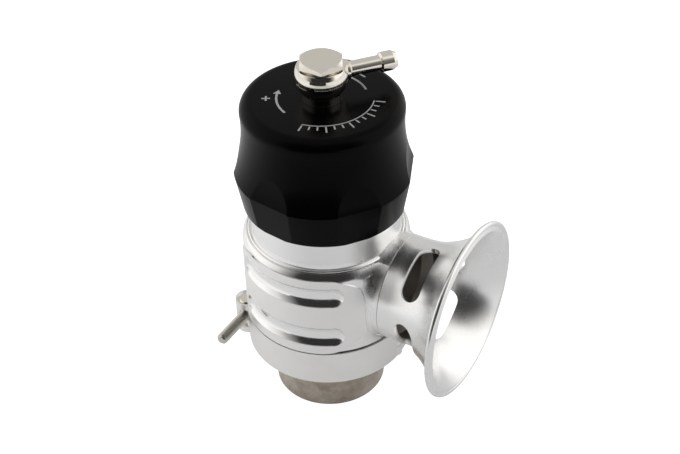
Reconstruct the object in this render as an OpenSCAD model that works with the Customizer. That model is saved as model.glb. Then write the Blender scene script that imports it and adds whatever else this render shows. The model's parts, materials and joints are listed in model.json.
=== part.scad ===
// Vent-to-atmosphere piston blow off valve with a weld-on inlet tube, a V-clamp, a side trumpet,
// a screw cap that sets the spring preload and a swivelling hose fitting.
// Origin: centre of the inlet tube's lower face. +Z is up along the valve axis, the trumpet points to +X.

/* [Inlet tube] */
// Outside diameter of the weld-on tube
tube_d = 38.1; // [36:0.1:39]
// Wall of the weld-on tube
tube_wall = 2; // [1.5:0.1:3]
// Bare tube length below the clamp
tube_h = 20.4; // [12:0.2:40]
// Chamfer on the tube's lower edge
tube_chamfer = 0.8; // [0.3:0.1:1.2]

/* [Clamp] */
// Height of the clamp ring
clamp_h = 12.6; // [11:0.2:16]
// Diameter of the two mating flanges
flange_d = 44; // [43:0.2:44.4]
// Flange thickness at the rim
flange_rim = 2; // [1.5:0.1:2.5]
// Slope of the flange backs
flange_slope = 20; // [15:1:25]
// Reach of the clamp lips over the flanges
lip_reach = 1.5; // [1:0.1:1.6]
// Gap between the clamp halves
split_gap = 1.4; // [0.8:0.1:2]
// Diameter of the two cross barrels
barrel_d = 6; // [5.6:0.1:6.4]
// Distance of each barrel from the split plane
barrel_y = 13.2; // [12:0.2:15]
// Wall of the ear round a barrel
ear_wall = 1.2; // [0.8:0.1:2]
// Thread diameter of the clamp bolt
bolt_d = 4; // [3:0.5:4]
// Length of the clamp bolt under its head
bolt_len = 46; // [40:0.5:56]
// Distance of the clamp bolt from the valve axis
bolt_x = 24.8; // [24.6:0.1:26]
// Diameter of the hinge pin
hinge_d = 3; // [2:0.1:3.2]

/* [Body] */
// Diameter over the grip pads and the clamp
body_d = 56; // [54:0.5:60]
// Height of the body from its lower face to the shoulder
body_h = 33.2; // [32.6:0.2:36]
// Gap between the clamp and the body
clamp_gap = 0.4; // [0.3:0.1:1]
// Radius of the shoulder's round edge
shoulder_r = 3.5; // [2:0.1:4.5]
// Height the grip pads stand proud
pad_raise = 0.35; // [0.2:0.05:0.6]
// Angle from the pad's middle to each of its ends
pad_angle = 62.5; // [50:0.5:64]
// Height of the plain polished band above the pads
pad_drop = 2.1; // [1.5:0.1:4]
// Corner radius of the pads
pad_corner = 12; // [4:0.5:13]
// Width of a scooped groove
groove_w = 7.7; // [5:0.1:8.5]
// Depth of a scooped groove
groove_depth = 1.7; // [1:0.1:2.4]
// Height between the two grooves
groove_pitch = 16.7; // [13:0.1:18]
// Angle from a groove's middle to each of its ends
groove_angle = 34.5; // [26:0.5:46]
// Diameter of the neck under the cap
neck_d = 49; // [48:0.1:49.4]
// Piston bore of the body
bore_d = 40; // [39:0.1:41]

/* [Outlet] */
// Diameter of the outlet boss and of the trumpet's neck
boss_d = 35; // [34.6:0.1:35.4]
// Distance of the boss face from the valve axis
boss_x = 28.5; // [28.3:0.1:32]
// Bore of the outlet port
port_d = 27.2; // [24:0.2:28]
// Wall of the trumpet's spigot
spigot_wall = 2.3; // [2:0.1:2.5]
// Distance of the spigot's end from the piston bore
spigot_gap = 1.4; // [1:0.1:3]
// Distance of the trumpet's mouth from the boss face
trumpet_len = 24.9; // [22:0.1:34]
// Diameter of the trumpet's mouth
mouth_d = 59.4; // [56:0.2:66]
// Wall of the trumpet
trumpet_wall = 1.8; // [1.2:0.1:2.2]
// Steepest slope of the flare
flare_slope = 54; // [48:1:56]
// Straight length of the trumpet's neck
neck_len = 3.3; // [2:0.1:5]
// Width of a trumpet slot
slot_w = 7.3; // [5:0.1:8]
// Distance of the slots' middle from the boss face
slot_x = 10.2; // [8:0.1:12]
// Angle that one slot spans
slot_angle = 65; // [40:1:68]
// Turn of the first slot from the near side upwards
slot_turn = 63; // [40:1:70]

/* [Cap] */
// Visible neck between shoulder step and cap
cap_gap = 8.1; // [7.5:0.1:11]
// Height of the cap
cap_h = 38.1; // [36.5:0.1:44]
// Diameter of the cap's widest line
cap_d = 57.7; // [57:0.1:60]
// Height of the widest line above the cap's lower edge
ridge_h = 12.8; // [10:0.1:14]
// Diameter at the cap's lower edge
cap_foot_d = 53.4; // [52.6:0.1:56]
// Diameter at the top of the flank
cap_top_d = 51.5; // [51:0.1:53]
// Radius of the round top edge
cap_edge = 3.7; // [2:0.1:5]
// Hollow of the flank
flank_hollow = 1.3; // [0.3:0.1:1.4]
// Number of grip flats
flats = 6; // [4:1:6]
// Angle that one flat spans at the widest line
flat_angle = 30; // [24:0.5:32]
// Turn of the first flat
flat_turn = -36.6; // [-60:0.1:60]
// Height of a flat's round top scoop above the widest line, at the scoop's middle
arch_h = 9.3; // [7:0.1:9.6]
// Radius of that scoop
arch_r = 26.4; // [25:0.1:40]
// Thickness of the cap's roof
roof_t = 8.8; // [7.6:0.1:10]
// Gap between the cap and the neck
thread_gap = 0.15; // [0.1:0.01:0.3]
// How far the cap can be screwed down
cap_down = 6; // [2:0.5:6]

/* [Hose fitting] */
// Diameter of the ball-shaped ring
ball_d = 16.6; // [15.6:0.1:18]
// Height of the ring
ring_h = 10.7; // [10:0.1:12]
// Height of the ball's middle above the ring's lower face
ball_h = 7.3; // [6.8:0.1:8.2]
// Diameter of the ring's foot below the ball
foot_d = 12.4; // [11.4:0.1:13]
// Thickness of a sealing washer
washer_t = 0.5; // [0.4:0.1:1]
// Width across flats of the bolt head
hex_af = 13; // [12:0.5:14]
// Height of the bolt head
hex_h = 1.8; // [1.6:0.1:4]
// Diameter of the bolt head's flat top
hex_top_d = 12.4; // [11:0.1:12.8]
// Thread diameter of the banjo bolt
stud_d = 8; // [7:0.1:9]
// Diameter of the hose tube
barb_d = 4.8; // [4:0.1:5.2]
// Diameter of the barb
barb_head_d = 6.3; // [5.8:0.1:7]
// Length of the barb
barb_head_len = 5; // [3:0.1:7]
// Distance of the tube's end from the valve axis
barb_reach = 24.2; // [20:0.1:30]
// Bore of the hose tube
barb_bore = 2.6; // [2:0.1:3]
// Direction of the tube, turned from the trumpet
barb_turn = 51; // [0:1:360]

/* [Piston] */
// Thickness of the seat under the piston
seat_t = 0.8; // [0.6:0.1:2]
// Least width of that seat
seat_w = 2.95; // [2.6:0.05:3.4]
// Radial play of the piston in its bore
piston_play = 0.3; // [0.2:0.05:0.4]
// Wall of the piston
piston_wall = 3.4; // [2.5:0.1:4]
// Thickness of the piston's floor
piston_floor = 5; // [3.5:0.1:7]
// Length of the piston above the port
piston_land = 7.5; // [7:0.1:9]
// Height of the piston's spring spigot
spigot_h = 2.5; // [1.5:0.1:4]

/* [Spring] */
// Wire of the spring
wire_d = 2.4; // [1.6:0.1:2.8]
// Diameter of the spring at the middle of its wire
spring_d = 25; // [22:0.2:26]
// Number of turns
spring_turns = 8; // [6:1:9]
// Thickness of the spring seat's rim
seat_rim = 1.8; // [1.2:0.1:2.5]
// Thickness of the thrust washer
thrust_t = 1.2; // [0.8:0.1:2]

/* [Seals] */
// Cord of the O-rings
cord_d = 1.9; // [1.6:0.1:2.1]
// Play of a seal against its moving mate
seal_play = 0.05; // [0.03:0.01:0.1]
// Height that the piston's face seal stands proud
seal_stand = 0.4; // [0.3:0.1:0.8]

/* [Hidden] */
$fn = 96;
eps = 0.01;
// Reach of a cutting tool that has to pass right through
reach = 120;
// Gap between pieces that are assembled with play
fit = 0.15;
// Gap between pieces that only touch
touch = 0.02;
arc_steps = 14;

// Radii
tube_r = tube_d / 2;
inlet_r = tube_r - tube_wall;
flange_r = flange_d / 2;
lip_r = flange_r - lip_reach;
flange_neck_r = lip_r - 2 * fit;
body_r = body_d / 2;
base_r = body_r - pad_raise;
neck_r = neck_d / 2;
bore_r = bore_d / 2;
boss_r = boss_d / 2;
port_r = port_d / 2;
spigot_r = port_r + spigot_wall;
mouth_r = mouth_d / 2;
cap_r = cap_d / 2;
barrel_r = barrel_d / 2;
ear_r = barrel_r + ear_wall;
bolt_r = bolt_d / 2;
hinge_r = hinge_d / 2;
knuckle_wall = 1.4;
knuckle_r = hinge_r + knuckle_wall;
cord_r = cord_d / 2;
stud_r = stud_d / 2;
ball_r = ball_d / 2;
foot_r = foot_d / 2;
barb_r = barb_d / 2;
wire_r = wire_d / 2;
coil_r = spring_d / 2;

// Heights, from the tube's lower face up
joint_z = tube_h + clamp_h / 2;
clamp_z1 = tube_h + clamp_h;
body_z0 = clamp_z1 + clamp_gap;
body_z1 = body_z0 + body_h;
boss_z = body_z0 + boss_r;
step_h = 2.3;
neck_z0 = body_z1 + step_h;
cap_z0 = neck_z0 + cap_gap;
ridge_z = cap_z0 + ridge_h;
cap_z1 = cap_z0 + cap_h;
roof_z = cap_z1 - roof_t;
neck_room = 2.3;
neck_z1 = roof_z - cap_down - neck_room;
cap_seal_up = 4.5;
cap_seal_z = cap_z0 + cap_seal_up;
seat_z = body_z0 + seat_t;
piston_z0 = seat_z + seal_stand;
piston_z1 = boss_z + port_r + piston_land;
floor_z = piston_z0 + piston_floor;
seal_drop = 2.6;
piston_seal_z = piston_z1 - seal_drop;
band_t = 1;
band_h = 2;
band_gap = 0.8;
band_z = piston_seal_z - cord_d - band_gap - band_h;
thrust_z0 = roof_z - touch - thrust_t;
rim_z0 = thrust_z0 - touch - seat_rim;
spring_z0 = floor_z + touch;
spring_z1 = rim_z0 - touch;
ring_z0 = cap_z1 + washer_t;
ball_z = ring_z0 + ball_h;
ring_z1 = ring_z0 + ring_h;
hex_z0 = ring_z1 + washer_t;
hex_z1 = hex_z0 + hex_h;

// O-ring grooves: a little wider than the cord
groove_room = 0.5;
base_seal_out = 0.6;
base_seal_r = (inlet_r + flange_neck_r) / 2 + base_seal_out;
trumpet_cord_r = 0.6;

// Other places
barrel_x = -bolt_x;
hinge_out = 0.5;
hinge_x = body_r - knuckle_r + hinge_out;
head_sink = 0.4;
head_y = barrel_y + barrel_r - head_sink;
spotface_over = 0.1;
spotface_r = ear_r + spotface_over;
spigot_len = boss_x - bore_r - spigot_gap;
throat_r = min(inlet_r, bore_r - seat_w);
piston_r = bore_r - piston_play;
cup_r = piston_r - piston_wall;
perch_lip = 4;
perch_hole_r = coil_r - wire_r - perch_lip;
perch_over = 0.6;
perch_r = coil_r + wire_r + perch_over;
guide_play = 0.5;
spring_guide_r = coil_r - wire_r - guide_play;
face_seal_w = 2;
face_seal_h = 2;
face_seal_r = bore_r - seat_w / 2;
washer_r = foot_r;
ring_play = 0.8;
ring_bore_r = stud_r + ring_play;
hex_turn = 1;

// Radius and place of the flare's arc, so that it ends in a straight cone at the mouth
flare_dx = trumpet_len - neck_len;
flare_dr = mouth_r - boss_r;
flare_r = (flare_dr - flare_dx * tan(flare_slope)) / (1 - 1 / cos(flare_slope));

// Loft of the milled outlet fillet: number of levels and of steps along its arc
blend_levels = 16;
blend_steps = 8;
// The loft starts this many degrees down the boss and stops this far behind its face
blend_foot = 70;
blend_short = 0.6;
// The loft starts inside the turned body and ends inside the boss, so that it rises out of both
blend_sink = 0.1;
// How much deeper its first and last levels lie, so that it fades out
blend_fade = 0.8;
blend_x0 = 10;

// Steps between the body's shoulder and the cap's neck
crest_w = 1.3;
ledge_w = 0.5;
ledge_drop = 0.5;
crest_up = 0.6;
crest_bevel = 0.3;
neck_lip = 0.35;
crest_r = neck_r + crest_w;
ledge_r = crest_r + ledge_w;
shoulder_z = body_z1 - shoulder_r;
ledge_angle = acos((ledge_r - base_r + shoulder_r) / shoulder_r);
ledge_z = shoulder_z + shoulder_r * sin(ledge_angle);
// The loft's top lies in the ledge's groove, given as degrees up the boss
blend_top = asin((ledge_z - ledge_drop / 2 - boss_z) / boss_r);

polished = "#d6d8da";
satin = "#c6c7c8";
raw_steel = "#8d8378";
dark_steel = "#6f6c68";
nickel = "#c9c1b2";
anodised = "#17171a";
rubber = "#202022";
ptfe = "#e6e2d8";

// Points of an arc round [cx, cy] from angle a0 to a1
function arc(cx, cy, r, a0, a1) =
    [for (i = [0:arc_steps]) let (a = a0 + (a1 - a0) * i / arc_steps) [cx + r * cos(a), cy + r * sin(a)]];

module tube(r_out, r_in, z0, z1) {
    difference() {
        translate([0, 0, z0]) cylinder(r = r_out, h = z1 - z0);
        translate([0, 0, z0 - eps]) cylinder(r = r_in, h = z1 - z0 + 2 * eps);
    }
}

module o_ring(r, z, section_r) {
    rotate_extrude() translate([r, z]) circle(r = section_r, $fn = 32);
}

// Groove for an O-ring cut from outside a shaft of radius r
module shaft_groove(r, z, depth) {
    tube(r + 1, r - depth, z - cord_r - groove_room / 2, z + cord_r + groove_room / 2);
}

// Turns a shape that was revolved about Z so that its axis is the outlet's, pointing to +X
module on_outlet() {
    translate([0, 0, boss_z]) rotate([0, 90, 0]) children();
}

module inlet_adaptor() {
    back_z = joint_z - flange_rim;
    color(raw_steel)
    difference() {
        rotate_extrude()
            polygon([
                [inlet_r, 0],
                [tube_r - tube_chamfer, 0],
                [tube_r, tube_chamfer],
                [tube_r, tube_h],
                [flange_neck_r, back_z - (flange_r - flange_neck_r) * tan(flange_slope)],
                [flange_r, back_z],
                [flange_r, joint_z],
                [inlet_r, joint_z]
            ]);
        tube(base_seal_r + cord_r + groove_room / 2, base_seal_r - cord_r - groove_room / 2,
            joint_z - cord_d, joint_z + eps);
    }
}

module base_o_ring() {
    color(rubber) o_ring(base_seal_r, joint_z - cord_r, cord_r - touch);
}

// Room inside the clamp for the two flanges and for what passes through it
module clamp_cavity() {
    rim = flange_rim + fit;
    lip_z = rim + (flange_r + fit - lip_r) * tan(flange_slope);
    translate([0, 0, joint_z])
        rotate_extrude()
            polygon([
                [0, -clamp_h],
                [lip_r, -clamp_h],
                [lip_r, -lip_z],
                [flange_r + fit, -rim],
                [flange_r + fit, rim],
                [lip_r, lip_z],
                [lip_r, clamp_h],
                [0, clamp_h]
            ]);
}

module knuckle(z0, z1, play) {
    translate([hinge_x, 0, z0 - play]) cylinder(r = knuckle_r + play, h = z1 - z0 + 2 * play);
}

// side -1 is the near half, with the middle knuckle; side 1 is the far half, with the outer two
module clamp_half(side) {
    third = clamp_h / 3;
    mid0 = tube_h + third;
    mid1 = clamp_z1 - third;
    spot_rise = 0.2;
    sink_h = 0.6;
    sink_w = 0.7;
    spot_y = side < 0 ? barrel_y + barrel_r - spot_rise : head_y;
    difference() {
        union() {
            difference() {
                union() {
                    translate([0, 0, tube_h]) cylinder(r = body_r, h = clamp_h);
                    translate([barrel_x, side * barrel_y, tube_h]) cylinder(r = ear_r, h = clamp_h);
                }
                translate([-reach / 2, side > 0 ? split_gap / 2 - reach : -split_gap / 2, 0])
                    cube([reach, reach, reach]);
                if (side < 0) {
                    knuckle(tube_h - 1, mid0, fit);
                    knuckle(mid1, clamp_z1 + 1, fit);
                } else {
                    knuckle(mid0, mid1, fit);
                }
            }
            if (side < 0) {
                knuckle(mid0, mid1, 0);
            } else {
                knuckle(tube_h, mid0 - fit, 0);
                knuckle(mid1 + fit, clamp_z1, 0);
            }
        }
        clamp_cavity();
        translate([hinge_x, 0, 0]) cylinder(r = hinge_r + touch, h = reach);
        translate([barrel_x, side * barrel_y, 0]) cylinder(r = barrel_r + touch, h = reach);
        translate([barrel_x, side * barrel_y, clamp_z1 - sink_h])
            cylinder(r1 = barrel_r, r2 = barrel_r + sink_w, h = sink_h + eps);
        translate([barrel_x, 0, joint_z]) rotate([side * -90, 0, 0]) cylinder(r = bolt_r + fit, h = reach);
        translate([barrel_x, side * spot_y, joint_z])
            rotate([side * -90, 0, 0]) cylinder(r = spotface_r, h = reach);
    }
}

module clamp_half_front() {
    color(satin) clamp_half(-1);
}

module clamp_half_rear() {
    color(satin) clamp_half(1);
}

module clamp_hinge_pin() {
    color(dark_steel) translate([hinge_x, 0, tube_h + fit]) cylinder(r = hinge_r, h = clamp_h - 2 * fit);
}

module clamp_bolt() {
    head_r = 0.875 * bolt_d;
    socket_r = 0.43 * bolt_d;
    chamfer = 0.15 * bolt_d;
    color(dark_steel)
    translate([barrel_x, head_y, joint_z])
        rotate([90, 0, 0])
            difference() {
                rotate_extrude()
                    polygon([
                        [0, -bolt_d],
                        [head_r - chamfer, -bolt_d],
                        [head_r, chamfer - bolt_d],
                        [head_r, 0],
                        [bolt_r, 0],
                        [bolt_r, bolt_len - chamfer],
                        [bolt_r - chamfer, bolt_len],
                        [0, bolt_len]
                    ]);
                translate([0, 0, -bolt_d - eps]) cylinder(r = socket_r, h = bolt_d / 2, $fn = 6);
            }
}

module cross_barrel(side, hole_r) {
    chamfer = 0.4;
    translate([barrel_x, side * barrel_y, 0])
        difference() {
            rotate_extrude()
                polygon([
                    [0, tube_h + fit],
                    [barrel_r - chamfer, tube_h + fit],
                    [barrel_r, tube_h + fit + chamfer],
                    [barrel_r, clamp_z1 - chamfer],
                    [barrel_r - chamfer, clamp_z1],
                    [0, clamp_z1]
                ]);
            translate([0, 0, joint_z]) rotate([90, 0, 0]) cylinder(r = hole_r, h = reach, center = true);
        }
}

module barrel_nut() {
    color(nickel) cross_barrel(-1, bolt_r + touch);
}

module barrel_washer() {
    color(nickel)
    difference() {
        cross_barrel(1, bolt_r + fit);
        translate([barrel_x - reach / 2, head_y, 0]) cube([reach, reach, reach]);
    }
}

// Turned outside of the body: flange, base, shoulder with its fine steps, and the cap's neck
module body_turning() {
    back_z = joint_z + flange_rim;
    edge = 0.5;
    rotate_extrude()
        polygon(concat(
            [
                [0, joint_z],
                [flange_r, joint_z],
                [flange_r, back_z],
                [flange_neck_r, back_z + (flange_r - flange_neck_r) * tan(flange_slope)],
                [flange_neck_r, body_z0],
                [base_r - edge, body_z0],
                [base_r, body_z0 + edge]
            ],
            arc(base_r - shoulder_r, shoulder_z, shoulder_r, 0, ledge_angle),
            [
                [ledge_r, ledge_z - ledge_drop],
                [crest_r, ledge_z - ledge_drop],
                [crest_r, ledge_z + crest_up],
                [crest_r - crest_bevel, ledge_z + crest_up + crest_bevel],
                [neck_r + neck_lip, ledge_z + crest_up + crest_bevel],
                [neck_r, neck_z0],
                [neck_r, neck_z1 - edge],
                [neck_r - edge, neck_z1],
                [0, neck_z1]
            ]
        ));
}

// Radius of the turned body at height z
function turned_r(z) =
    z < shoulder_z ? base_r
    : base_r - shoulder_r + sqrt(pow(shoulder_r, 2) - pow(z - shoulder_z, 2));

// Level section of the milled fillet on one side: from the round body, curving out to the boss
function fillet(z, side, grow) =
    let (
        half = sqrt(max(1, pow(boss_r + grow, 2) - pow(z - boss_z, 2))),
        root = turned_r(z) + grow,
        end_x = boss_x - blend_short,
        r = (pow(end_x, 2) - pow(root, 2) + pow(half, 2)) / (2 * (root - half)),
        a0 = 180 - atan((half + r) / end_x)
    )
    [for (i = [0:blend_steps]) let (a = a0 + (90 - a0) * i / blend_steps)
        [end_x + r * cos(a), side * (half + r - r * sin(a)), z]];

// Milled transition from the round body to the outlet boss, grown by raise
module outlet_blend(raise) {
    count = 2 * (blend_steps + 1) + 2;
    points = [for (k = [0:blend_levels])
        let (
            z = boss_z + boss_r * sin(blend_top * k / blend_levels - blend_foot * (1 - k / blend_levels)),
            fade = pow(abs(2 * k / blend_levels - 1), 8),
            grow = raise - blend_sink - blend_fade * fade,
            near = fillet(z, -1, grow),
            far = fillet(z, 1, grow),
            root_y = 0.9 * near[0][1]
        )
        each concat(near, [for (i = [0:blend_steps]) far[blend_steps - i]],
            [[blend_x0, -root_y, z], [blend_x0, root_y, z]])];
    walls = [for (k = [0:blend_levels - 1], j = [0:count - 1])
        let (n = (j + 1) % count, low = k * count, high = low + count)
        each [[low + j, high + j, high + n], [low + j, high + n, low + n]]];
    ends = [[for (j = [0:count - 1]) j], [for (j = [0:count - 1]) (blend_levels + 1) * count - 1 - j]];
    polyhedron(points, concat(walls, ends));
}

// Flat outline of a grip pad, seen from the side
module pad_outline() {
    w = 2 * body_r * sin(pad_angle);
    h = body_h - pad_drop;
    translate([-w / 2 + pad_corner, 0]) square([w - 2 * pad_corner, h]);
    translate([-w / 2, pad_corner]) square([w, h - 2 * pad_corner]);
    for (x = [-1, 1], z = [pad_corner, h - pad_corner])
        translate([x * (w / 2 - pad_corner), z]) circle(r = pad_corner);
}

// Grip pads on both sides, raised above the body and its fillets
module grip_pads() {
    intersection() {
        union() {
            translate([0, 0, body_z0]) cylinder(r = body_r, h = body_h);
            outlet_blend(pad_raise);
        }
        translate([0, reach / 2, body_z0]) rotate([90, 0, 0]) linear_extrude(reach) pad_outline();
    }
}

// Scooped groove with round ends, centred on the side that faces -Y or +Y
module grip_groove(side, z) {
    scoop_r = (pow(groove_w / 2, 2) + pow(groove_depth, 2)) / (2 * groove_depth);
    path_r = body_r - groove_depth + scoop_r;
    start = side * 90 - groove_angle;
    // The ball ends are a touch larger than the groove, so that the two surfaces cross cleanly
    over = 0.08;
    end_r = scoop_r + over;
    translate([0, 0, z]) {
        rotate([0, 0, start])
            rotate_extrude(angle = 2 * groove_angle) translate([path_r, 0]) circle(r = scoop_r);
        for (a = [start, start + 2 * groove_angle])
            rotate([0, 0, a]) translate([path_r, 0, 0]) sphere(r = end_r);
    }
}

module body() {
    groove_lift = 0.15;
    groove_mid = body_z0 + (body_h - pad_drop) / 2 + groove_lift;
    color(polished)
    difference() {
        union() {
            body_turning();
            outlet_blend(0);
            on_outlet() cylinder(r = boss_r, h = boss_x);
            grip_pads();
        }
        for (side = [-1, 1], level = [-1, 1])
            grip_groove(side, groove_mid + level * groove_pitch / 2);
        cylinder(r = throat_r, h = reach);
        translate([0, 0, seat_z]) cylinder(r = bore_r, h = reach);
        on_outlet() cylinder(r = port_r, h = reach);
        on_outlet() translate([0, 0, boss_x - spigot_len - fit]) cylinder(r = spigot_r + touch, h = reach);
        shaft_groove(neck_r, cap_seal_z, cord_d - thread_gap);
    }
}

// Outline of the trumpet's wall; offset moves it inwards from the outside surface
function flare(offset_in) =
    arc(boss_r + flare_r, neck_len, flare_r + offset_in, 180, 180 - flare_slope);

module trumpet_slot(turn) {
    end_angle = (slot_angle - slot_w / boss_r * 180 / PI) / 2;
    intersection() {
        union() {
            for (a = [-end_angle, end_angle])
                rotate([0, 0, turn + a]) translate([0, 0, slot_x]) rotate([0, 90, 0])
                    cylinder(r = slot_w / 2, h = reach);
            rotate([0, 0, turn - end_angle])
                rotate_extrude(angle = 2 * end_angle)
                    translate([0, slot_x - slot_w / 2]) square([reach, slot_w]);
        }
        cylinder(r = mouth_r, h = trumpet_len);
    }
}

module trumpet() {
    lip = trumpet_wall / 2;
    chamfer = 0.4;
    bevel = 0.25;
    inner = flare(trumpet_wall);
    color(polished)
    on_outlet()
    translate([0, 0, boss_x])
        difference() {
            rotate_extrude()
                polygon(concat(
                    [
                        [port_r, -spigot_len],
                        [spigot_r - chamfer, -spigot_len],
                        [spigot_r, chamfer - spigot_len],
                        [spigot_r, 0],
                        [boss_r - bevel, 0],
                        [boss_r, bevel]
                    ],
                    flare(0),
                    arc(mouth_r - lip, trumpet_len - lip, lip, flare_slope - 90, flare_slope + 90),
                    [for (i = [0:arc_steps]) inner[arc_steps - i]],
                    [[port_r, 0]]
                ));
            for (k = [0:3]) trumpet_slot(90 * k - slot_turn - 90);
            shaft_groove(spigot_r, -spigot_len / 2, 2 * trumpet_cord_r);
        }
}

module trumpet_o_ring() {
    color(rubber)
    on_outlet()
        translate([0, 0, boss_x]) o_ring(spigot_r - trumpet_cord_r, -spigot_len / 2, trumpet_cord_r - touch);
}

module piston() {
    edge = 0.6;
    color(satin)
    difference() {
        rotate_extrude()
            polygon([
                [0, piston_z0],
                [piston_r - edge, piston_z0],
                [piston_r, piston_z0 + edge],
                [piston_r, piston_z1 - edge],
                [piston_r - edge, piston_z1],
                [cup_r, piston_z1],
                [cup_r, floor_z],
                [spring_guide_r, floor_z],
                [spring_guide_r, floor_z + spigot_h - edge],
                [spring_guide_r - edge, floor_z + spigot_h],
                [0, floor_z + spigot_h]
            ]);
        tube(face_seal_r + face_seal_w / 2 + touch, face_seal_r - face_seal_w / 2 - touch,
            piston_z0 - eps, piston_z0 + face_seal_h - seal_stand);
        shaft_groove(piston_r, piston_seal_z, cord_d + seal_play + touch - piston_play);
        tube(piston_r + 1, piston_r - band_t, band_z, band_z + band_h);
    }
}

module piston_face_seal() {
    color(rubber)
    tube(face_seal_r + face_seal_w / 2, face_seal_r - face_seal_w / 2,
        seat_z + touch, piston_z0 + face_seal_h - seal_stand - touch);
}

module piston_o_ring() {
    color(rubber) o_ring(bore_r - seal_play - cord_r, piston_seal_z, cord_r);
}

module piston_guide_band() {
    color(ptfe) tube(bore_r - seal_play, piston_r - band_t + touch, band_z + touch, band_z + band_h - touch);
}

// Height of the spring wire's middle after t turns: one closed turn at each end
function coil_z(t) =
    let (low = spring_z0 + wire_r, high = spring_z1 - wire_r, live = high - low - 2 * wire_d)
    t < 1 ? low + t * wire_d
    : t > spring_turns - 1 ? high - (spring_turns - t) * wire_d
    : low + wire_d + (t - 1) / (spring_turns - 2) * live;

module main_spring() {
    rings_per_turn = 20;
    sides = 8;
    section_r = 0.96 * wire_r;
    rings = rings_per_turn * spring_turns;
    points = [for (i = [0:rings], j = [0:sides - 1])
        let (t = i / rings_per_turn, a = 360 * t, b = 360 * j / sides, r = coil_r + section_r * cos(b))
        [r * cos(a), r * sin(a), coil_z(t) + section_r * sin(b)]];
    walls = [for (i = [0:rings - 1], j = [0:sides - 1])
        let (k = (j + 1) % sides)
        [i * sides + j, i * sides + k, (i + 1) * sides + k, (i + 1) * sides + j]];
    ends = [[for (j = [0:sides - 1]) sides - 1 - j], [for (j = [0:sides - 1]) rings * sides + j]];
    color(dark_steel) polyhedron(points, concat(walls, ends));
}

module spring_seat() {
    hat = spring_guide_r;
    edge = 0.5;
    color(satin)
    rotate_extrude()
        polygon([
            [perch_hole_r, rim_z0 - spigot_h],
            [hat - edge, rim_z0 - spigot_h],
            [hat, rim_z0 - spigot_h + edge],
            [hat, rim_z0],
            [perch_r, rim_z0],
            [perch_r, rim_z0 + seat_rim],
            [perch_hole_r, rim_z0 + seat_rim]
        ]);
}

module thrust_washer() {
    color(ptfe) tube(perch_r, perch_hole_r, thrust_z0, thrust_z0 + thrust_t);
}

// Outside of the cap: foot, skirt, widest line, hollow flank, round edge and flat top
module cap_turning() {
    foot_r = cap_foot_d / 2;
    top_r = cap_top_d / 2;
    flank_z1 = cap_z1 - cap_edge;
    chord = [top_r - cap_r, flank_z1 - ridge_z];
    half = norm(chord) / 2;
    flank_r = (half * half + flank_hollow * flank_hollow) / (2 * flank_hollow);
    off = (flank_r - flank_hollow) / norm(chord);
    cx = (cap_r + top_r) / 2 + chord[1] * off;
    cz = (ridge_z + flank_z1) / 2 - chord[0] * off;
    ridge_a = 180 + atan((cz - ridge_z) / (cx - cap_r));
    flank_a = 180 + atan((cz - flank_z1) / (cx - top_r));
    foot = 0.7;
    rotate_extrude()
        polygon(concat(
            [[0, cap_z0], [foot_r - foot, cap_z0], [foot_r, cap_z0 + foot]],
            arc(cx, cz, flank_r, ridge_a, flank_a),
            arc(top_r - cap_edge, flank_z1, cap_edge, 0, 90),
            [[0, cap_z1]]
        ));
}

// Cutter for one grip flat: a plane along the skirt, and a round scoop that runs out on the flank
module cap_flat() {
    flat_x = cap_r * cos(flat_angle / 2);
    lean = atan((cap_d - cap_foot_d) / 2 / ridge_h);
    // The scoop starts a little outside the plane, so that the two cross just above the widest line
    scoop_out = 0.1;
    scoop_x = flat_x + scoop_out + sqrt(pow(arch_r, 2) - pow(arch_h, 2));
    translate([flat_x, 0, ridge_z])
        rotate([0, lean, 0])
            translate([0, -cap_r, -2 * ridge_h]) cube([cap_r, cap_d, 4 * ridge_h]);
    translate([scoop_x, 0, ridge_z + arch_h])
        rotate([90, 0, 0]) cylinder(r = arch_r, h = cap_d, center = true);
}

module cap() {
    color(anodised)
    difference() {
        cap_turning();
        for (k = [0:flats - 1])
            rotate([0, 0, flat_turn + 360 / flats * k]) cap_flat();
        translate([0, 0, cap_z0 - eps]) cylinder(r = neck_r + thread_gap, h = roof_z - cap_z0 + eps);
        cylinder(r = stud_r + touch, h = 2 * reach);
    }
}

module cap_o_ring() {
    squeeze = (cord_d - seal_play) / 2;
    color(rubber) o_ring(neck_r + thread_gap - seal_play - squeeze, cap_seal_z, squeeze - touch);
}

module banjo_bolt() {
    feed_r = 0.45 * stud_r;
    cross_r = 0.8 * feed_r;
    hex_r = hex_af / 2 / cos(30);
    // The chamfer's cone runs out just beyond the corners of the head
    cone_over = 0.2;
    cone_r = hex_r + cone_over;
    cone_h = (cone_r - hex_top_d / 2) * tan(30);
    color(nickel)
    difference() {
        union() {
            intersection() {
                translate([0, 0, hex_z0]) rotate([0, 0, hex_turn]) cylinder(r = hex_r, h = hex_h, $fn = 6);
                rotate_extrude()
                    polygon([
                        [0, hex_z0 - 1],
                        [cone_r, hex_z0 - 1],
                        [cone_r, hex_z1 - cone_h],
                        [hex_top_d / 2, hex_z1],
                        [0, hex_z1]
                    ]);
            }
            translate([0, 0, roof_z + touch]) cylinder(r = stud_r, h = hex_z0 - roof_z);
        }
        translate([0, 0, roof_z]) cylinder(r = feed_r, h = ball_z - roof_z);
        translate([0, 0, ball_z])
            rotate([0, 90, barb_turn]) cylinder(r = cross_r, h = 4 * stud_r, center = true);
    }
}

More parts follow.
